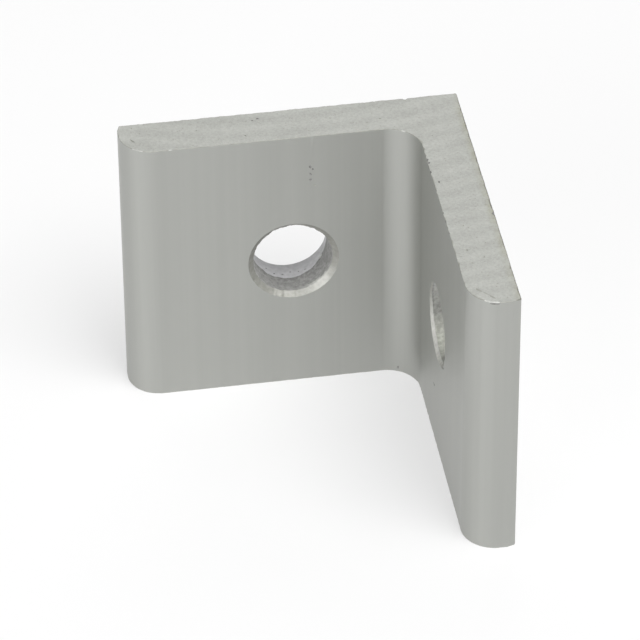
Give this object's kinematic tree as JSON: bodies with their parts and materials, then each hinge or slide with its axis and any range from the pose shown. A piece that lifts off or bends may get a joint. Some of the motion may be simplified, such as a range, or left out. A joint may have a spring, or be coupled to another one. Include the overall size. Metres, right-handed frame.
{
  "type": "t slot corner bracket",
  "caption": "Right-angle corner bracket cut from extruded aluminium angle, with a countersunk-rim screw bore through each leg for fastening slotted rails.",
  "frame": {"origin": "under the middle of the bounding box, on the lower sawn end that the bracket stands on", "axes": "+Z along the extrusion; the outside of one leg faces +Y and runs towards -X, the outside of the other faces +X and runs towards -Y; the heel is at +X +Y"},
  "size_m": [0.028, 0.028, 0.025],
  "materials": {
    "anodised_aluminium": "satin clear anodised on the extruded faces, raw and finely pitted on the sawn ends"
  },
  "bodies": {
    "root": {"corner_bracket": "anodised_aluminium"}
  },
  "joints": []
}
